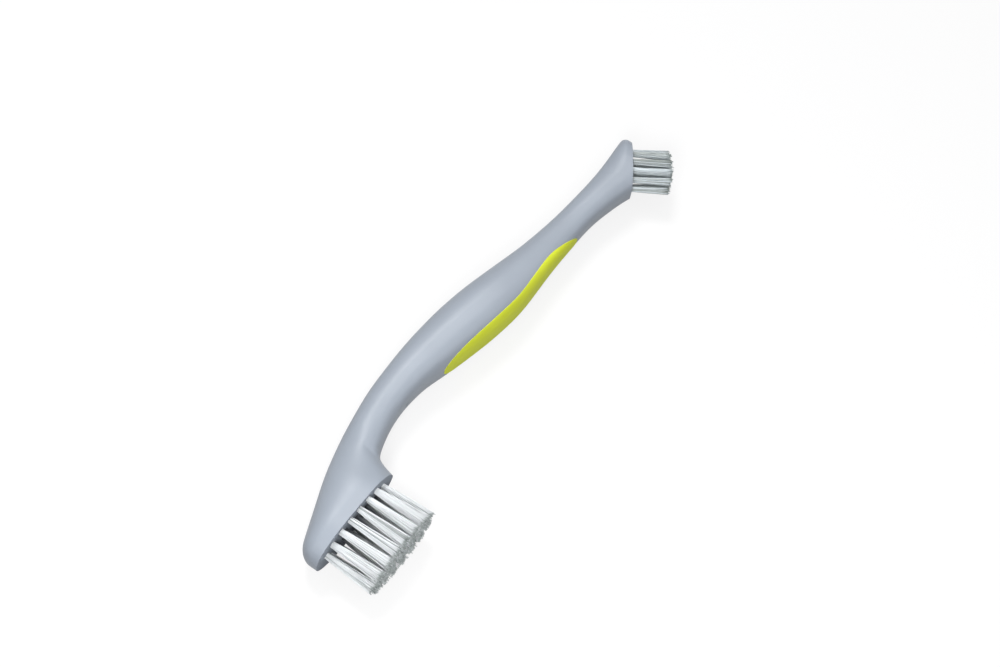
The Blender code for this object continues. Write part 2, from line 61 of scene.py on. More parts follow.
# The big head
HEAD_LENGTH = 0.047
HEAD_WIDTH = 0.022
HEAD_OVAL = 2.3
HEAD_FLAT_RELIEF = 0.0005
HEAD_FLAT_HEIGHT = 0.0035
TOE_RADIUS = 0.005
END_HALF_WIDTH = 0.0008
HEEL_CORNER = 0.0030
HEEL_CORNER_HEIGHT = 0.0084
HEEL_FULLNESS = 2.4
HEEL_FLARE = 3.0
HEEL_ROUNDING = 0.5
HEEL_ROUNDING_REACH = 0.010
HEEL_SOFT_REACHES = (0.0150, 0.0120, 0.0060)
HEEL_SOFT_ROUNDS = 5
HEEL_SOFT_SHARE = 0.5
SHOULDER_X = 0.012
TOE_X = -HEAD_LENGTH / 2
HEEL_X = HEAD_LENGTH / 2
MIDDLE_Z = HEAD_WIDTH / 2
FACE_Y = -HEAD_FLAT_HEIGHT

# The handle's stretches
HEEL_TO_NECK = 0.0265
NECK_TO_GRIP = 0.048
GRIP_TO_WAIST = 0.057
WAIST_TO_TIP = 0.0308
NECK_X = HEEL_X + HEEL_TO_NECK
GRIP_X = NECK_X + NECK_TO_GRIP
WAIST_X = GRIP_X + GRIP_TO_WAIST
TIP_FACE_X = WAIST_X + WAIST_TO_TIP
HEAD_END_SHARE = 0.4
HEAD_END_X = HEEL_X + HEAD_END_SHARE * HEEL_TO_NECK

# The small head
TIP_FACE_HEIGHT = 0.0053
TIP_SLANT = math.radians(34.4)
TIP_LENGTH = 0.0236
TIP_WIDTH = 0.0136
TIP_OVAL = 2.2
TIP_NOSE_DEPTH = 0.0036
TIP_NOSE_RADIUS = 0.0026
TIP_NOSE_HALF_WIDTH = 0.0006
FACE_EDGE_RADIUS = 0.0005
TIP_REACH = TIP_LENGTH / 2 * math.cos(TIP_SLANT)
TIP_ROOT_X = TIP_FACE_X - TIP_REACH
NOSE_X = TIP_FACE_X + TIP_REACH
NOSE_HEIGHT = TIP_FACE_HEIGHT + TIP_LENGTH / 2 * math.sin(TIP_SLANT) + TIP_NOSE_DEPTH

# Side view of the handle: x, and the height above the big bristle face
NECK_BELLY = 0.0133
NECK_DEPTH = 0.0143
GRIP_BELLY = 0.0048
GRIP_DEPTH = 0.0209
WAIST_BELLY = 0.0037
WAIST_DEPTH = 0.0118
BACK_LINE = [
    (TOE_X, 0.0077),
    (0.35 * TOE_X, 0.0134),
    (0.47 * HEEL_X, 0.0203),
    (HEEL_X + 0.25 * HEEL_TO_NECK, 0.0248),
    (NECK_X, NECK_BELLY + NECK_DEPTH),
    (NECK_X + 0.37 * NECK_TO_GRIP, 0.0282),
    (NECK_X + 0.69 * NECK_TO_GRIP, 0.0275),
    (GRIP_X, GRIP_BELLY + GRIP_DEPTH),
    (GRIP_X + 0.30 * GRIP_TO_WAIST, 0.0221),
    (GRIP_X + 0.61 * GRIP_TO_WAIST, 0.0183),
    (WAIST_X, WAIST_BELLY + WAIST_DEPTH),
    (WAIST_X + 0.65 * WAIST_TO_TIP, 0.0145),
    (NOSE_X, NOSE_HEIGHT),
]
BELLY_LINE = [
    (HEEL_X + HEEL_CORNER, HEEL_CORNER_HEIGHT),
    (HEEL_X + 0.32 * HEEL_TO_NECK, 0.0103),
    (HEEL_X + 0.62 * HEEL_TO_NECK, 0.0123),
    (NECK_X, NECK_BELLY),
    (NECK_X + 0.19 * NECK_TO_GRIP, 0.0128),
    (NECK_X + 0.48 * NECK_TO_GRIP, 0.0097),
    (NECK_X + 0.77 * NECK_TO_GRIP, 0.0068),
    (GRIP_X, GRIP_BELLY),
    (GRIP_X + 0.26 * GRIP_TO_WAIST, 0.0034),
    (GRIP_X + 0.63 * GRIP_TO_WAIST, 0.0041),
    (WAIST_X, WAIST_BELLY),
    (WAIST_X + 0.36 * WAIST_TO_TIP, 0.0020),
    (TIP_ROOT_X, -0.0005),
]
UNDER_HEAD = -0.006
UNDER_HEEL = -0.0015
UNDER_HEEL_REACH = 0.006
UNDER_TIP = 0.004
TIP_CUT_REACH = 0.006

# Top view of the handle: x, and half its width
NECK_WIDTH = 0.0152
GRIP_WIDTH = 0.022
WAIST_WIDTH = 0.0118
WIDTH_LINE = [
    (HEEL_X, 0.0090),
    (HEAD_END_X, 0.0080),
    (NECK_X, NECK_WIDTH / 2),
    (NECK_X + 0.29 * NECK_TO_GRIP, 0.0084),
    (NECK_X + 0.62 * NECK_TO_GRIP, 0.0102),
    (NECK_X + 0.87 * NECK_TO_GRIP, GRIP_WIDTH / 2),
    (GRIP_X + 0.11 * GRIP_TO_WAIST, GRIP_WIDTH / 2),
    (GRIP_X + 0.42 * GRIP_TO_WAIST, 0.0092),
    (GRIP_X + 0.70 * GRIP_TO_WAIST, 0.0070),
    (WAIST_X, WAIST_WIDTH / 2),
    (WAIST_X + 0.49 * WAIST_TO_TIP, 0.0062),
    (TIP_FACE_X, TIP_WIDTH / 2),
]

# Cross-sections: a fullness of 2 makes an ellipse, and more a squarer one
BACK_FULLNESS = 2.1
BELLY_FULLNESS = 2.9
HEAD_WALL_FULLNESS = 4.5
SIDE_TRIM = 1.01
HANDLE_WIDEST = 0.45
TIP_WIDEST = 0.25
TOE_WIDEST = 0.55

# The soft grip, which stands a hair proud of the handle, with a rounded edge
INLAY_SHORT_END = 0.0338
INLAY_LONG_END = 0.0435
INLAY_WIDTH = 0.0170
INLAY_OVAL = 2.4
INLAY_DEPTH = 0.0034
INLAY_END_HALF_WIDTH = 0.0003
INLAY_WIDEST_X = GRIP_X + 0.006
INLAY_GAP = 0.00004
INLAY_PROUD = 0.00008
INLAY_EDGE_RADIUS = 0.00018
INLAY_EDGE_ANGLE = math.radians(50)

# Tufts. A bristle end is one half of a bristle, which is folded in its tuft's hole.
MAIN_RING_COUNT = 15
MAIN_TOE_MARGIN = 0.0064
MAIN_HEEL_MARGIN = 0.0060
MAIN_SIDE_MARGIN = 0.0030
MAIN_INNER_COUNT = 8
MAIN_RING_STEP = 0.0052  # from the outer ring to the inner one
TIP_RING_COUNT = 10
TIP_END_MARGIN = 0.0036
TIP_SIDE_MARGIN = 0.0031
TIP_ROW_COUNT = 2
TIP_ROW_PITCH = 0.0044
MAIN_TUFT = {
    "width": 0.0027,  # across the tuft at the face
    "spread": 0.0053,  # across its cut ends
    "length": 0.0212,
    "hole": 0.0062,  # the hole's depth
    "thickness": 0.00032,  # of one bristle
    "pitch": 0.00037,  # from one bristle to the next
    "crown": 0.0,  # how much longer the middle tufts are
    "curve": 0.95,  # above 1 the tuft widens late, below 1 early
    "ring": MAIN_RING_COUNT,  # the tufts after these stand inside the ring
    "inner_spread": 0.0060,
    "inner_curve": 0.55,
    "scatter": 0.00026,  # of the lengths
}
TIP_TUFT = {
    "width": 0.0024,
    "spread": 0.0033,
    "length": 0.0142,
    "hole": 0.0042,
    "thickness": 0.00028,
    "pitch": 0.00033,
    "crown": 0.0011,
    "curve": 1.15,
    "ring": TIP_RING_COUNT,
    "inner_spread": 0.0036,
    "inner_curve": 1.0,
    "scatter": 0.00042,
}
BRISTLE_SIDES = 6
BRISTLE_STEPS = 6
FOLD_STEPS = 4
FOLD_MARGIN = 0.0007  # from the hole's floor up to the lowest fold's middle
FOLD_NESTING = 0.85  # depth of the innermost fold, as a share of the outermost one's
ANCHOR_HALF_THICKNESS = 0.00018
ANCHOR_TOP = 0.0035  # its depth below the face
END_SCATTER = 0.00013
SWAY = 0.00007
STRAY_SHARE = 0.05
STRAY_SPREAD = 1.35
LEAN_SCATTER = 0.00022
CLEARANCE = 0.00025  # how much wider a hole is than its tuft

# The gate mark is where the plastic was injected, a faint round mark near the toe.
GATE_X = -0.0172
GATE_HEIGHT = 0.0042
GATE_WIDTH = 0.0023
GATE_DEPTH = 0.00006

# How fine the meshes are, and their tolerances
RING_POINTS = 48
END_STATIONS = 11
CORNER_STATIONS = 9
HANDLE_STATIONS = 38
STATION_CROWDING = 1.25
FINE_LEVELS = 2
FACE_EDGE_STEPS = 4
INLAY_EDGE_STEPS = 3
INLAY_STATIONS = 97
HOLE_SIDES = 24
GATE_SIDES = 32
RING_STEPS = 2000
FACE_ANGLE = math.radians(35)
FLAT_FACE = 0.9998  # cosine of the most that a polygon of the big face may be turned from it
FAR = 0.05
WELD = 1e-6

# Looks. A noise is given by its scale and detail, and a bump by its distance and strength.
NOISE_LOW = 0.3  # most of a noise lies between these two
NOISE_HIGH = 0.7
PLASTIC_COLORS = ((0.275, 0.308, 0.355), (0.290, 0.325, 0.374))
PLASTIC_CLOUD = (55, 3)
PLASTIC_GRAIN = (2600, 4)
PLASTIC_BUMP = (0.00003, 0.35)
SATIN_ROUGHNESS = (0.42, 0.50)
MATT_ROUGHNESS = (0.86, 0.94)
RUBBER_COLORS = ((0.675, 0.745, 0.042), (0.705, 0.775, 0.048))
RUBBER_CLOUD = (90, 3)
RUBBER_GRAIN = (3200, 5)
RUBBER_BUMP = (0.00004, 0.4)
RUBBER_ROUGHNESS = (0.50, 0.64)
RUBBER_SPECULAR = 0.2
BRASS_COLORS = ((0.62, 0.46, 0.22), (0.75, 0.58, 0.31))
BRASS_GRAIN = (1800, 3)
BRASS_ROUGHNESS = 0.35

# Bristle colours from the darkest bristle to the lightest, and painted shades to multiply them by
BRISTLE_ROUGHNESS = 0.55
CUT_END_ROUGHNESS = 0.5
# A random tone for each bristle; its darkest bristles are painted shade for the shadow between
# bristles.
WHITE_TONES = [(0.0, (0.25, 0.28, 0.28)), (0.16, (0.74, 0.77, 0.78)), (1.0, (0.82, 0.84, 0.86))]
GREY_TONES = [(0.0, (0.30, 0.33, 0.31)), (0.30, (0.55, 0.60, 0.61)), (1.0, (0.70, 0.76, 0.79))]
# Cut ends vary in tone at random from bristle to bristle and are kept dark overall as painted shade.
DARK_END = (0.010, 0.012, 0.011)
MID_END = (0.05, 0.056, 0.053)
LIGHT_END = (0.45, 0.49, 0.48)
WHITE_END_TONES = [(0.0, DARK_END), (0.55, MID_END), (1.0, LIGHT_END)]
GREY_END_TONES = [(0.0, MID_END), (1.0, LIGHT_END)]
# Painted shade: bristles darken over the last bit towards their cut ends, where the tips lie in
# shade.
MAIN_PAINTED_END_SHADE = (0.42, 0.47, 0.45)
TIP_PAINTED_END_SHADE = (0.60, 0.65, 0.62)
PAINTED_END_SHADE_START = 0.955
# Painted shade: the roots of the inner tufts are darkened where the tufts around them shade them.
PAINTED_ROOT_SHADE = (0.07, 0.08, 0.09)
PAINTED_ROOT_SHADE_REACH = 0.7
NO_SHADE = (1, 1, 1)

# The studio: the floor, the room's light from the horizon up to overhead, and the lamps.
FLOOR_SIZE = 12
FLOOR_DROP = 0.00005
FLOOR_WHITE = 0.18
FLOOR_GLOW = 0.78
ROOM_LIGHT = [(0.0, (0.08, 0.08, 0.09)), (0.25, (0.14, 0.14, 0.15)), (0.75, (0.60, 0.60, 0.61))]
BACKDROP = (0.87, 0.87, 0.87)
LAMPS = {
    "overhead": {
        "target": (-0.06, 0, 0.01),
        "direction": (0.36, 0.39, 0.85),
        "distance": 1.8,
        "size": 0.61,
        "spread": math.radians(60),
        "power": 2.2,
    },
    "front": {
        "target": (0.01, -0.01, 0.01),
        "direction": (-0.58, -0.24, 0.78),
        "distance": 0.6,
        "size": 0.3,
        "spread": math.pi,
        "power": 2.7,
    },
    "belly": {
        "target": (0.085, 0, 0.01),
        "direction": (0.2, -0.8, 0.55),
        "distance": 0.8,
        "size": 0.35,
        "spread": math.radians(40),
        "power": 0.036,
    },
}


# Meshes and objects


def mesh_of(bm, name):
    mesh = bpy.data.meshes.new(name)
    bm.to_mesh(mesh)
    bm.free()
    return mesh


def add_object(name, mesh):
    obj = bpy.data.objects.new(name, mesh)
    bpy.context.scene.collection.objects.link(obj)
    return obj


def evaluated_mesh(obj, *helpers):
    """The object's mesh with its modifiers applied. The object and its helpers are removed."""
    bpy.context.view_layer.update()
    evaluated = obj.evaluated_get(bpy.context.evaluated_depsgraph_get())
    mesh = bpy.data.meshes.new_from_object(evaluated)
    for done in (obj, *helpers):
        bpy.data.objects.remove(done)
    return mesh


def add_boolean(obj, operation, other):
    cut = obj.modifiers.new(other.name, "BOOLEAN")
    cut.operation = operation
    cut.solver = "EXACT"
    cut.object = other


def smooth_mesh(mesh):
    mesh.shade_smooth()
    mesh.set_sharp_from_angle(angle=FACE_ANGLE)


# The handle's form


def through(points, x):
    """The smooth line through the points at x, level where they turn, so it never overshoots."""
    xs, ys = np.array(points).T
    steps = np.diff(xs)
    rises = np.diff(ys) / steps
    slopes = np.concatenate([rises[:1], np.zeros(len(xs) - 2), rises[-1:]])
    for i, (before, after) in enumerate(zip(rises[:-1], rises[1:]), start=1):
        if before * after > 0:
            slopes[i] = 2 * before * after / (before + after)
    i = int(np.clip(np.searchsorted(xs, x) - 1, 0, len(steps) - 1))
    t = (x - xs[i]) / steps[i]
    if t < 0:
        return ys[i] + slopes[i] * (x - xs[i])
    if t > 1:
        return ys[i + 1] + slopes[i + 1] * (x - xs[i + 1])
    start = (1 + 2 * t) * (1 - t) ** 2 * ys[i] + t * (1 - t) ** 2 * steps[i] * slopes[i]
    end = t * t * (3 - 2 * t) * ys[i + 1] - t * t * (1 - t) * steps[i] * slopes[i + 1]
    return start + end


def ease(t):
    t = min(max(t, 0.0), 1.0)
    return t * t * (3 - 2 * t)


def blend(low, high, share):
    return low + (high - low) * share


def soft_least(first, second, rounding):
    """The lesser of two values, rounded off where they are close."""
    near = max(rounding - abs(first - second), 0.0)
    return min(first, second) - (near**2 / (4 * rounding) if near else 0.0)


def oval(share, fullness):
    """Width of an oval at this share of its half length, as a share of its full width."""
    return max(0.0, 1 - min(abs(share), 1.0) ** fullness) ** (1 / fullness)


def round_off(distance, radius):
    """How far an edge of this radius is cut back at this distance from its end."""
    if distance >= radius:
        return 0.0
    return radius - math.sqrt(radius**2 - (radius - distance) ** 2)


def tip_face_height(x):
    return TIP_FACE_HEIGHT + (x - TIP_FACE_X) * math.tan(TIP_SLANT)


def back_height(x):
    drop = round_off(x - TOE_X, TOE_RADIUS) + round_off(NOSE_X - x, TIP_NOSE_RADIUS)
    return through(BACK_LINE, x) - drop


def belly_height(x):
    if x < HEEL_X:
        return blend(UNDER_HEAD, UNDER_HEEL, ease(1 - (HEEL_X - x) / UNDER_HEEL_REACH))
    if x < HEEL_X + HEEL_CORNER:
        rise = math.sqrt(1 - (1 - (x - HEEL_X) / HEEL_CORNER) ** 2)
        return blend(UNDER_HEEL, HEEL_CORNER_HEIGHT, rise)
    if x > TIP_ROOT_X:
        return BELLY_LINE[-1][1] - UNDER_TIP * ease((x - TIP_ROOT_X) / TIP_REACH)
    return through(BELLY_LINE, x)


def heel_reach(height):
    """X to which the head's heel reaches at this height above the big face."""
    if height > HEEL_CORNER_HEIGHT:
        return HEEL_X + HEEL_CORNER + HEEL_FLARE * (height - HEEL_CORNER_HEIGHT)
    level = math.sqrt(1 - (max(height, 0.0) / HEEL_CORNER_HEIGHT) ** 2)
    return HEEL_X + HEEL_CORNER * (1 - level)


def head_half_width(x, height):
    reach = heel_reach(height) if x > 0 else HEEL_X
    opening = ease(height / HEEL_CORNER_HEIGHT) if x > 0 else 0.0
    outline = oval(x / reach, blend(HEAD_OVAL, HEEL_FULLNESS, opening))
    wide = (HEAD_WIDTH / 2 + HEAD_FLAT_RELIEF) * outline
    return min(max(wide, END_HALF_WIDTH), HEAD_WIDTH / 2)


def body_half_width(x):
    if x < SHOULDER_X:
        return head_half_width(x, 0.0)
    if x > TIP_FACE_X:
        nose = TIP_WIDTH / 2 * oval((x - TIP_FACE_X) / TIP_REACH, TIP_OVAL)
        return max(nose, TIP_NOSE_HALF_WIDTH)
    return through([(SHOULDER_X, head_half_width(SHOULDER_X, 0.0)), *WIDTH_LINE], x)


def head_share(x):
    return 1 - ease((x - SHOULDER_X) / (HEAD_END_X - SHOULDER_X))


def widest_height(x):
    back, face = back_height(x), tip_face_height(x)
    behind_head = max(x, HEAD_END_X)
    in_handle = blend(belly_height(behind_head), back_height(behind_head), HANDLE_WIDEST)
    in_head = min(HEAD_FLAT_HEIGHT, TOE_WIDEST * back)
    in_tip = blend(face, back, TIP_WIDEST)
    height = blend(in_handle, in_head, head_share(x))
    return blend(height, in_tip, ease((x - TIP_ROOT_X) / TIP_REACH))


def section(x):
    """Ring of points around the handle at x: a rounded back, flattened sides and a fuller belly."""
    belly, back, widest = belly_height(x), back_height(x), widest_height(x)
    half_width = body_half_width(x)
    behind_head = ease((x - HEEL_X) / HEEL_TO_NECK)
    rounding = HEEL_ROUNDING * ease((x - SHOULDER_X) / HEEL_ROUNDING_REACH)
    belly_fullness = blend(BELLY_FULLNESS, HEAD_WALL_FULLNESS, head_share(x))
    ring = []
    for angle in np.linspace(0, 2 * math.pi, RING_POINTS, endpoint=False):
        up, out = math.cos(angle), math.sin(angle)
        power = 2 / (BACK_FULLNESS if up > 0 else belly_fullness)
        rise = abs(up) ** power * (back - widest if up > 0 else belly - widest)
        side = min(1.0, abs(out) ** power * SIDE_TRIM) * half_width
        narrowing = soft_least(1.0, head_half_width(x, widest + rise) / half_width, rounding)
        side *= blend(narrowing, 1.0, behind_head)
        ring.append((x, FACE_Y + widest + rise, MIDDLE_Z + math.copysign(side, out)))
    return ring


def stations():
    """X of every section, closest together at the toe, the heel and the nose."""
    quarter = np.linspace(0, math.pi / 2, END_STATIONS)
    toe = TOE_X * np.cos(quarter[:-1])
    head = HEEL_X * np.sin(quarter)
    corner = HEEL_X + HEEL_CORNER * (1 - np.cos(np.linspace(0, math.pi / 2, CORNER_STATIONS)[1:]))
    handle_start = HEEL_X + HEEL_CORNER
    shares = np.linspace(0, 1, HANDLE_STATIONS)[1:] ** STATION_CROWDING
    handle = handle_start + (TIP_FACE_X - handle_start) * shares
    nose = TIP_FACE_X + TIP_REACH * np.sin(quarter[1:])
    return np.concatenate([toe, head, corner, handle, nose])


def skin(bm, rings):
    """Closed skin over rings of equally many points."""
    rows = [[bm.verts.new(point) for point in ring] for ring in rings]
    count = len(rows[0])
    for first, second in zip(rows, rows[1:]):
        for i in range(count):
            j = (i + 1) % count
            bm.faces.new([first[i], first[j], second[j], second[i]])
    bm.faces.new(rows[0][::-1])
    bm.faces.new(rows[-1])
    bmesh.ops.recalc_face_normals(bm, faces=bm.faces)


def soften_heel(bm):
    """Smooths the mesh round the heel's inner corner, most of all close to it."""
    corner = Vector((HEEL_X + HEEL_CORNER, FACE_Y + HEEL_CORNER_HEIGHT))
    for reach in HEEL_SOFT_REACHES:
        near = [v for v in bm.verts if (v.co.xy - corner).length < reach]
        for _ in range(HEEL_SOFT_ROUNDS):
            bmesh.ops.smooth_vert(
                bm,
                verts=near,
                factor=HEEL_SOFT_SHARE,
                use_axis_x=True,
                use_axis_y=True,
                use_axis_z=True,
            )


def fine_skin():
    """The whole form before it is cut, subdivided to a smooth surface."""
    bm = bmesh.new()
    skin(bm, [section(x) for x in stations()])
    soften_heel(bm)
    rough = add_object("rough_skin", mesh_of(bm, "rough_skin"))
    finer = rough.modifiers.new("finer", "SUBSURF")
    finer.levels = FINE_LEVELS
    return evaluated_mesh(rough)


def face_frame(along, outward, place):
    """Matrix of a bristle face: X along it, Z out of it along its bristles."""
    turned = Matrix((along, outward.cross(along), outward)).transposed()
    return Matrix.Translation(place) @ turned.to_4x4()


def main_face_frame():
    return face_frame(Vector((1, 0, 0)), Vector((0, -1, 0)), Vector((0, FACE_Y, MIDDLE_Z)))


def tip_face_frame():
    along = Vector((math.cos(TIP_SLANT), math.sin(TIP_SLANT), 0))
    outward = Vector((math.sin(TIP_SLANT), -math.cos(TIP_SLANT), 0))
    return face_frame(along, outward, Vector((TIP_FACE_X, FACE_Y + TIP_FACE_HEIGHT, MIDDLE_Z)))


def cut_face(bm, weight, place_frame, in_reach):
    """Cuts the form off at the face's plane, fills the cut and marks its rim for the bevel."""
    verts = [v for v in bm.verts if in_reach(v.co.x)]
    reached = set(verts)
    edges = [e for e in bm.edges if reached.issuperset(e.verts)]
    faces = [f for f in bm.faces if reached.issuperset(f.verts)]
    bmesh.ops.bisect_plane(
        bm,
        geom=verts + edges + faces,
        dist=WELD,
        plane_co=place_frame.translation,
        plane_no=place_frame.col[2].to_3d(),
        clear_outer=True,
    )
    rim = [e for e in bm.edges if e.is_boundary]
    bmesh.ops.contextual_create(bm, geom=rim)
    for edge in rim:
        edge[weight] = 1.0


def handle_form(fine):
    """The fine skin with both bristle faces cut flat, as a mesh."""
    bm = bmesh.new()
    weight = bm.edges.layers.float.new("bevel_weight_edge")
    bm.from_mesh(fine)
    cut_face(bm, weight, main_face_frame(), lambda x: x < HEAD_END_X)
    cut_face(bm, weight, tip_face_frame(), lambda x: x > TIP_ROOT_X - TIP_CUT_REACH)
    bmesh.ops.recalc_face_normals(bm, faces=bm.faces)
    return mesh_of(bm, "handle_form")


# The soft grip


def inlay_half_width(x):
    reach = INLAY_SHORT_END if x < INLAY_WIDEST_X else INLAY_LONG_END
    return INLAY_WIDTH / 2 * oval((x - INLAY_WIDEST_X) / reach, INLAY_OVAL)


def inlay_prism(name, inset):
    """Prism with the grip's outline less the inset, from below up to the pocket's floor."""
    shares = (1 - np.cos(np.linspace(0, math.pi, INLAY_STATIONS))) / 2
    start = INLAY_WIDEST_X - INLAY_SHORT_END + inset
    end = INLAY_WIDEST_X + INLAY_LONG_END - inset
    rings = []
    for x in start + (end - start) * shares:
        half = max(inlay_half_width(x) - inset, INLAY_END_HALF_WIDTH)
        low = FACE_Y - FAR
        high = FACE_Y + belly_height(x) + INLAY_DEPTH - inset
        corners = [(low, -half), (low, half), (high, half), (high, -half)]
        rings.append([(x, y, MIDDLE_Z + z) for y, z in corners])
    bm = bmesh.new()
    skin(bm, rings)
    return add_object(name, mesh_of(bm, name))


def proud_copy(form):
    """The handle's form, grown by the little that the grip stands out."""
    bm = bmesh.new()
    bm.from_mesh(form)
    bm.normal_update()
    for v in bm.verts:
        v.co += v.normal * INLAY_PROUD
    return add_object("grip_skin", mesh_of(bm, "grip_skin"))


def make_grip(form, rubber):
    prism = inlay_prism("grip_blank", INLAY_GAP)
    grown = proud_copy(form)
    add_boolean(prism, "INTERSECT", grown)
    edge = prism.modifiers.new("edge", "BEVEL")
    edge.width = INLAY_EDGE_RADIUS
    edge.segments = INLAY_EDGE_STEPS
    edge.limit_method = "ANGLE"
    edge.angle_limit = INLAY_EDGE_ANGLE
    mesh = evaluated_mesh(prism, grown)
    smooth_mesh(mesh)
    mesh.materials.append(rubber)
    finish_piece(add_object("rubber_grip", mesh), "soft_grip")


# Where the tufts stand


def ring_places(count, start, end, half_width):
    """Points on an ellipse along X from start to end, evenly along it. The first is at start."""
    fine = np.linspace(0, 2 * math.pi, RING_STEPS + 1)
    middle, half_length = (start + end) / 2, (end - start) / 2
    line = np.column_stack([middle - half_length * np.cos(fine), half_width * np.sin(fine)])
    run = np.concatenate([[0], np.cumsum(np.linalg.norm(np.diff(line, axis=0), axis=1))])
    marks = run[-1] * np.arange(count) / count
    return list(zip(np.interp(marks, run, line[:, 0]), np.interp(marks, run, line[:, 1])))


def row_places(count, pitch):
    return [((i - (count - 1) / 2) * pitch, 0.0) for i in range(count)]


def main_places():
    start, end = TOE_X + MAIN_TOE_MARGIN, HEEL_X - MAIN_HEEL_MARGIN
    half_width = HEAD_WIDTH / 2 - MAIN_SIDE_MARGIN
    step = MAIN_RING_STEP
    inner = ring_places(MAIN_INNER_COUNT, end - step, start + step, half_width - step)
    return ring_places(MAIN_RING_COUNT, start, end, half_width) + inner


def tip_places():
    half_length = TIP_LENGTH / 2 - TIP_END_MARGIN
    half_width = TIP_WIDTH / 2 - TIP_SIDE_MARGIN
    ring = ring_places(TIP_RING_COUNT, -half_length, half_length, half_width)
    return ring + row_places(TIP_ROW_COUNT, TIP_ROW_PITCH)


def hole_cutter(name, place_frame, places, sizes):
    """All holes of one face, as one object to cut with."""
    bm = bmesh.new()
    height = sizes["hole"] + 2 * FACE_EDGE_RADIUS
    radius = sizes["width"] / 2 + CLEARANCE / 2
    for x, y in places:
        bmesh.ops.create_cone(
            bm,
            cap_ends=True,
            segments=HOLE_SIDES,
            radius1=radius,
            radius2=radius,
            depth=height,
            matrix=place_frame @ Matrix.Translation((x, y, height / 2 - sizes["hole"])),
        )
    return add_object(name, mesh_of(bm, name))


def gate_cutter(form):
    """A shallow disc, square to the head's side where the gate mark is."""
    bm = bmesh.new()
    bm.from_mesh(form)
    tree = BVHTree.FromBMesh(bm)
    bm.free()
    above = Vector((GATE_X, FACE_Y + GATE_HEIGHT, FAR))
    place, normal, _, _ = tree.ray_cast(above, Vector((0, 0, -1)))
    disc = bmesh.new()
    bmesh.ops.create_cone(
        disc,
        cap_ends=True,
        segments=GATE_SIDES,
        radius1=GATE_WIDTH / 2,
        radius2=GATE_WIDTH / 2,
        depth=2 * GATE_DEPTH,
        matrix=Matrix.Translation(place) @ normal.to_track_quat("Z", "Y").to_matrix().to_4x4(),
    )
    return add_object("gate_disc", mesh_of(disc, "gate_disc"))


def make_handle(form, satin, matt):
    """The cut form with its pocket, holes and gate mark. The flat of the big face is matt."""
    blank = add_object("handle_blank", form.copy())
    rims = blank.modifiers.new("face_rims", "BEVEL")
    rims.limit_method = "WEIGHT"
    rims.width = FACE_EDGE_RADIUS
    rims.segments = FACE_EDGE_STEPS
    cutters = [
        inlay_prism("grip_pocket", 0.0),
        hole_cutter("main_holes", main_face_frame(), main_places(), MAIN_TUFT),
        hole_cutter("tip_holes", tip_face_frame(), tip_places(), TIP_TUFT),
        gate_cutter(form),
    ]
    for cutter in cutters:
        add_boolean(blank, "DIFFERENCE", cutter)
    mesh = evaluated_mesh(blank, *cutters)
    smooth_mesh(mesh)
    mesh.materials.clear()
    mesh.materials.append(satin)
    mesh.materials.append(matt)
    outward = main_face_frame().col[2].to_3d()
    for polygon in mesh.polygons:
        polygon.material_index = polygon.normal.dot(outward) > FLAT_FACE
    finish_piece(add_object("moulded_handle", mesh), "handle_body")


# Bristles


def bristle_grid(sizes):
    """Where bristles pass the face on one side of the anchor. The other side mirrors it."""
    reach = (sizes["width"] - sizes["thickness"]) / 2
    pitch = sizes["pitch"]
    column_pitch = pitch * math.sqrt(3) / 2
    places = []
    for column in range(int(reach / column_pitch) + 1):
        x = (column + 0.5) * column_pitch
        shift = pitch / 2 * (column % 2)
        steps = int(reach / pitch) + 1
        for k in range(-steps, steps + 1):
            y = k * pitch + shift
            if math.hypot(x, y) <= reach:
                places.append((x, y))
    return places


def bristle_end(x, y, sizes, lean, rng):
    """Points of one bristle from its cut end down to the face, each with its share of the way."""
    spread = sizes["spread"] / sizes["width"]
    if rng.random() < STRAY_SHARE:
        spread *= rng.uniform(1.0, STRAY_SPREAD)
    length = sizes["length"] + rng.gauss(0, sizes["scatter"])
    end_x = x * spread + lean[0] + rng.gauss(0, END_SCATTER)
    end_y = y * spread + lean[1] + rng.gauss(0, END_SCATTER)
    sway_x, sway_y = rng.gauss(0, SWAY), rng.gauss(0, SWAY)
    points = []
    for step in range(BRISTLE_STEPS, -1, -1):
        share = step / BRISTLE_STEPS
        out = share ** sizes["curve"]
        bow = math.sin(math.pi * share)
        place = (
            blend(x, end_x, out) + sway_x * bow,
            blend(y, end_y, out) + sway_y * bow,
            length * share,
        )
        points.append((place, share))
    return points


def folded_bristle(x, y, sizes, lean, rng):
    """Points of a whole bristle: down from a cut end, round its fold and up to the other end.

    The inner folds of the big head go up to 0.1 mm into their anchors, out of sight in the holes.
    """
    reach = sizes["width"] / 2
    beside = max(x, ANCHOR_HALF_THICKNESS + sizes["thickness"] / 2 + (x / reach) * sizes["pitch"])
    lowest = FOLD_MARGIN - sizes["hole"]
    top = -min(ANCHOR_TOP, sizes["hole"] / 2)
    depth = (lowest - top) * blend(FOLD_NESTING, 1.0, x / reach)
    down = bristle_end(x, y, sizes, lean, rng)
    mirrored = bristle_end(x, y, sizes, (-lean[0], lean[1]), rng)
    up = [((-px, py, pz), share) for (px, py, pz), share in mirrored]
    fold = []
    for step in range(FOLD_STEPS + 1):
        angle = math.pi * step / FOLD_STEPS
        fold.append(((beside * math.cos(angle), y, top + depth * math.sin(angle)), 0.0))
    return down + fold + up[::-1]


def tube_rings(points, radius, count):
    """Rings around the points. A bristle never runs along Y, which the rings start from."""
    line = np.array(points)
    along = np.gradient(line, axis=0)
    along /= np.linalg.norm(along, axis=1, keepdims=True)
    side = np.array([0.0, 1.0, 0.0]) - along * along[:, 1:2]
    side /= np.linalg.norm(side, axis=1, keepdims=True)
    other = np.cross(along, side)
    angles = np.linspace(0, 2 * math.pi, count, endpoint=False)
    around = np.cos(angles)[:, None] * side[:, None, :]
    around += np.sin(angles)[:, None] * other[:, None, :]
    return line[:, None, :] + radius * around


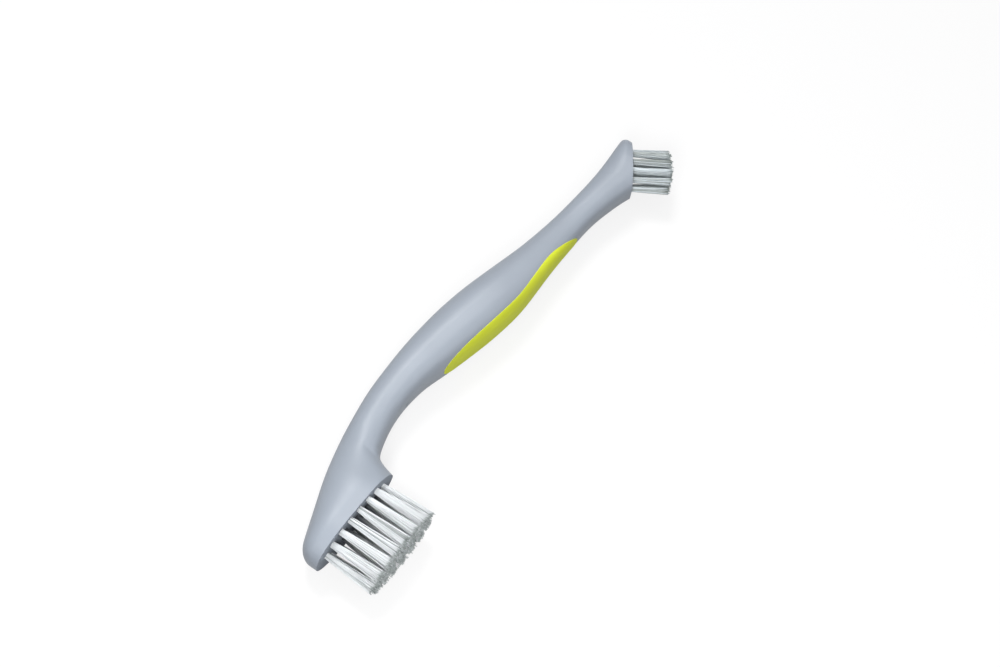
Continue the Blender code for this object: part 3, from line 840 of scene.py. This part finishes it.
def tuft_mesh(name, sizes, seed, looks):
    """All bristles of one tuft.

    Each has a random tone, and each of its points the share of the way from face to cut end.
    """
    rng = random.Random(seed)
    lean = (rng.gauss(0, LEAN_SCATTER), rng.gauss(0, LEAN_SCATTER))
    verts, faces, ends, tones, shares = [], [], [], [], []
    count = BRISTLE_SIDES
    for x, y in bristle_grid(sizes):
        path = folded_bristle(x, y, sizes, lean, rng)
        rings = tube_rings([point for point, _ in path], sizes["thickness"] / 2, count)
        first = len(verts)
        verts.extend(rings.reshape(-1, 3).tolist())
        tone = rng.random()
        for row, (_, share) in enumerate(path):
            tones.extend([tone] * count)
            shares.extend([share] * count)
            if row == 0:
                continue
            for i in range(count):
                j = (i + 1) % count
                low, high = first + (row - 1) * count, first + row * count
                faces.append([low + i, low + j, high + j, high + i])
        last = first + (len(path) - 1) * count
        ends.append([first + i for i in reversed(range(count))])
        ends.append([last + i for i in range(count)])
    mesh = bpy.data.meshes.new(name)
    mesh.from_pydata(verts, [], faces + ends)
    for look in looks:
        mesh.materials.append(look)
    is_end = np.zeros(len(mesh.polygons), np.int32)
    is_end[len(faces):] = 1
    mesh.polygons.foreach_set("material_index", is_end)
    mesh.polygons.foreach_set("use_smooth", is_end == 0)
    mesh.attributes.new("tone", "FLOAT", "POINT").data.foreach_set("value", tones)
    mesh.attributes.new("share", "FLOAT", "POINT").data.foreach_set("value", shares)
    return mesh


def make_tufts(prefix, place_frame, places, sizes, looks, inner_looks):
    """One piece for each tuft. The middle ones are longer by the crown than those at both ends."""
    reach = max(x for x, _ in places)
    for number, (x, y) in enumerate(places, start=1):
        name = f"{prefix}_bristles_{number:02d}"
        crowned = sizes["length"] + sizes["crown"] * (1 - (x / reach) ** 2)
        own = {**sizes, "length": crowned}
        own_looks = looks
        # Inner tufts take the inner looks; on the big head these have painted shade at the roots.
        if number > sizes["ring"]:
            own.update(spread=sizes["inner_spread"], curve=sizes["inner_curve"])
            own_looks = inner_looks
        mesh = tuft_mesh(name, own, f"{prefix} {number}", own_looks)
        mesh.transform(place_frame @ Matrix.Translation((x, y, 0)))
        finish_piece(add_object(name, mesh), f"{prefix}_tuft_{number:02d}")


def finish_piece(obj, node):
    """The piece rides on the one body and stands for its node, which it hides."""
    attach(obj, "root")
    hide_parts(node)


# Materials


def new_material(name, roughness):
    made = bpy.data.materials.new(name)
    made.use_nodes = True
    shader = made.node_tree.nodes["Principled BSDF"]
    shader.inputs["Roughness"].default_value = roughness
    return made, made.node_tree, shader


def add_attribute(tree, name):
    attribute = tree.nodes.new("ShaderNodeAttribute")
    attribute.attribute_name = name
    return attribute.outputs["Fac"]


def add_noise(tree, scale, detail):
    coordinates = tree.nodes.new("ShaderNodeTexCoord")
    noise = tree.nodes.new("ShaderNodeTexNoise")
    noise.inputs["Scale"].default_value = scale
    noise.inputs["Detail"].default_value = detail
    tree.links.new(coordinates.outputs["Object"], noise.inputs["Vector"])
    return noise.outputs["Fac"]


def add_ramp(tree, value, stops):
    ramp = tree.nodes.new("ShaderNodeValToRGB")
    elements = ramp.color_ramp.elements
    while len(elements) < len(stops):
        elements.new(0.5)
    for element, (place, color) in zip(elements, stops):
        element.position = place
        element.color = (*color, 1)
    tree.links.new(value, ramp.inputs["Fac"])
    return ramp.outputs["Color"]


def add_range(tree, value, low, high):
    spread = tree.nodes.new("ShaderNodeMapRange")
    spread.inputs["From Min"].default_value = NOISE_LOW
    spread.inputs["From Max"].default_value = NOISE_HIGH
    spread.inputs["To Min"].default_value = low
    spread.inputs["To Max"].default_value = high
    tree.links.new(value, spread.inputs["Value"])
    return spread.outputs["Result"]


def add_bump(tree, shader, height, distance, strength):
    bump = tree.nodes.new("ShaderNodeBump")
    bump.inputs["Distance"].default_value = distance
    bump.inputs["Strength"].default_value = strength
    tree.links.new(height, bump.inputs["Height"])
    tree.links.new(bump.outputs["Normal"], shader.inputs["Normal"])


def add_noise_color(tree, shader, noise, colors):
    stops = [(NOISE_LOW, colors[0]), (NOISE_HIGH, colors[1])]
    tree.links.new(add_ramp(tree, noise, stops), shader.inputs["Base Color"])


def add_grain(tree, shader, colors, cloud, grain, roughness, bump):
    """A hardly visible cloudiness of the colour, and a fine grain in gloss and height."""
    add_noise_color(tree, shader, add_noise(tree, *cloud), colors)
    grains = add_noise(tree, *grain)
    tree.links.new(add_range(tree, grains, *roughness), shader.inputs["Roughness"])
    add_bump(tree, shader, grains, *bump)


def moulded_plastic(name, roughness):
    """Grey-blue plastic with the grain of an etched mould."""
    made, tree, shader = new_material(name, roughness[1])
    add_grain(tree, shader, PLASTIC_COLORS, PLASTIC_CLOUD, PLASTIC_GRAIN, roughness, PLASTIC_BUMP)
    return made


def soft_rubber():
    made, tree, shader = new_material("lime_rubber", RUBBER_ROUGHNESS[0])
    shader.inputs["Specular IOR Level"].default_value = RUBBER_SPECULAR
    looks = (RUBBER_COLORS, RUBBER_CLOUD, RUBBER_GRAIN, RUBBER_ROUGHNESS, RUBBER_BUMP)
    add_grain(tree, shader, *looks)
    return made


def bristle_look(name, tones, painted_end_shade, painted_root_shade=None):
    """Milky nylon, toned bristle by bristle, with painted shade towards the cut end and, if given,
    at the root.
    """
    made, tree, shader = new_material(name, BRISTLE_ROUGHNESS)
    color = add_ramp(tree, add_attribute(tree, "tone"), tones)
    # Painted shade over the last bit of each bristle, towards its cut end.
    shades = [(PAINTED_END_SHADE_START, NO_SHADE), (1.0, painted_end_shade)]
    if painted_root_shade:
        # Painted shade at the root, darkest at the face.
        shades = [(0.0, painted_root_shade), (PAINTED_ROOT_SHADE_REACH, NO_SHADE)] + shades
    shade = add_ramp(tree, add_attribute(tree, "share"), shades)
    mix = tree.nodes.new("ShaderNodeMix")
    mix.data_type = "RGBA"
    mix.blend_type = "MULTIPLY"
    mix.inputs["Factor"].default_value = 1
    tree.links.new(color, mix.inputs["A"])
    tree.links.new(shade, mix.inputs["B"])
    tree.links.new(mix.outputs["Result"], shader.inputs["Base Color"])
    return made


# Cut ends in a random tone, dark overall as painted shade.
def cut_end_look(name, tones):
    made, tree, shader = new_material(name, CUT_END_ROUGHNESS)
    color = add_ramp(tree, add_attribute(tree, "tone"), tones)
    tree.links.new(color, shader.inputs["Base Color"])
    return made


def anchor_brass():
    made, tree, shader = new_material("anchor_strip", BRASS_ROUGHNESS)
    shader.inputs["Metallic"].default_value = 1
    add_noise_color(tree, shader, add_noise(tree, *BRASS_GRAIN), BRASS_COLORS)
    return made


# The studio


def make_camera():
    data = bpy.data.cameras.new("camera")
    data.sensor_width = SENSOR_WIDTH
    data.lens = SENSOR_WIDTH * PIXELS_PER_METRE * CAMERA_DISTANCE / IMAGE_WIDTH
    camera = add_object("camera", data)
    back = Vector(
        (
            math.cos(CAMERA_AZIMUTH) * math.cos(CAMERA_ELEVATION),
            math.sin(CAMERA_AZIMUTH) * math.cos(CAMERA_ELEVATION),
            math.sin(CAMERA_ELEVATION),
        )
    )
    level_up = (Vector((0, 0, 1)) - back * back.z).normalized()
    level_right = level_up.cross(back)
    cosine, sine = math.cos(CAMERA_ROLL), math.sin(CAMERA_ROLL)
    up = level_up * cosine + level_right * sine
    right = level_right * cosine - level_up * sine
    turned = Matrix((right, up, back)).transposed().to_4x4()
    camera.matrix_world = Matrix.Translation(CAMERA_TARGET + back * CAMERA_DISTANCE) @ turned
    bpy.context.scene.camera = camera


def add_light(name, target, direction, distance, size, spread, power):
    """A round lamp that shines on the target from this direction."""
    data = bpy.data.lights.new(name, "AREA")
    data.shape = "DISK"
    data.size = size
    data.spread = spread
    data.energy = power
    light = add_object(name, data)
    toward = Vector(direction).normalized()
    light.location = Vector(target) + toward * distance
    light.rotation_euler = toward.to_track_quat("Z", "Y").to_euler()


def seen_directly(tree):
    """1 for what the camera, a reflection or clear matter shows, 0 for what only gives light."""
    path = tree.nodes.new("ShaderNodeLightPath")
    seen = path.outputs["Is Camera Ray"]
    for ray in ("Is Glossy Ray", "Is Transmission Ray"):
        either = tree.nodes.new("ShaderNodeMath")
        either.operation = "MAXIMUM"
        tree.links.new(seen, either.inputs[0])
        tree.links.new(path.outputs[ray], either.inputs[1])
        seen = either.outputs[0]
    return seen


def make_world():
    """Soft room light, dim at the horizon and brighter overhead, in front of a pale backdrop."""
    world = bpy.data.worlds.new("studio")
    bpy.context.scene.world = world
    world.use_nodes = True
    tree = world.node_tree
    coordinates = tree.nodes.new("ShaderNodeTexCoord")
    split = tree.nodes.new("ShaderNodeSeparateXYZ")
    tree.links.new(coordinates.outputs["Generated"], split.inputs["Vector"])
    color = add_ramp(tree, split.outputs["Z"], ROOM_LIGHT)
    mix = tree.nodes.new("ShaderNodeMix")
    mix.data_type = "RGBA"
    tree.links.new(seen_directly(tree), mix.inputs["Factor"])
    tree.links.new(color, mix.inputs["A"])
    mix.inputs["B"].default_value = (*BACKDROP, 1)
    tree.links.new(mix.outputs["Result"], tree.nodes["Background"].inputs["Color"])


def make_floor():
    """White floor. What the camera and reflections see of it is partly glow, for a faint shadow."""
    bm = bmesh.new()
    bmesh.ops.create_grid(bm, x_segments=1, y_segments=1, size=FLOOR_SIZE / 2)
    floor = add_object("floor", mesh_of(bm, "floor"))
    floor.location.z = -FLOOR_DROP
    made = bpy.data.materials.new("white_floor")
    made.use_nodes = True
    tree = made.node_tree
    tree.nodes.clear()
    diffuse = tree.nodes.new("ShaderNodeBsdfDiffuse")
    diffuse.inputs["Color"].default_value = (FLOOR_WHITE, FLOOR_WHITE, FLOOR_WHITE, 1)
    glow = tree.nodes.new("ShaderNodeEmission")
    strength = tree.nodes.new("ShaderNodeMath")
    strength.operation = "MULTIPLY"
    strength.inputs[1].default_value = FLOOR_GLOW
    tree.links.new(seen_directly(tree), strength.inputs[0])
    tree.links.new(strength.outputs[0], glow.inputs["Strength"])
    both = tree.nodes.new("ShaderNodeAddShader")
    tree.links.new(diffuse.outputs[0], both.inputs[0])
    tree.links.new(glow.outputs[0], both.inputs[1])
    output = tree.nodes.new("ShaderNodeOutputMaterial")
    tree.links.new(both.outputs[0], output.inputs["Surface"])
    floor.data.materials.append(made)


def main():
    bpy.context.scene.view_settings.view_transform = "Standard"
    make_camera()
    make_world()
    make_floor()
    for name, lamp in LAMPS.items():
        add_light(name, **lamp)
    form = handle_form(fine_skin())
    satin = moulded_plastic("satin_plastic", SATIN_ROUGHNESS)
    matt = moulded_plastic("matt_plastic", MATT_ROUGHNESS)
    make_handle(form, satin, matt)
    make_grip(form, soft_rubber())
    ends = cut_end_look("white_cut_ends", WHITE_END_TONES)
    main_looks = [bristle_look("white_bristle", WHITE_TONES, MAIN_PAINTED_END_SHADE), ends]
    # The big head's inner tufts get painted shade at their roots.
    inner = bristle_look("inner_bristle_painted_shade", WHITE_TONES, MAIN_PAINTED_END_SHADE, PAINTED_ROOT_SHADE)
    tip_ends = cut_end_look("grey_cut_ends", GREY_END_TONES)
    tip_looks = [bristle_look("grey_bristle", GREY_TONES, TIP_PAINTED_END_SHADE), tip_ends]
    make_tufts("main", main_face_frame(), main_places(), MAIN_TUFT, main_looks, [inner, ends])
    make_tufts("tip", tip_face_frame(), tip_places(), TIP_TUFT, tip_looks, tip_looks)
    brass = anchor_brass()
    for name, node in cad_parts.items():
        if name.startswith("main_anchor"):
            node.data.materials.clear()
            node.data.materials.append(brass)


main()
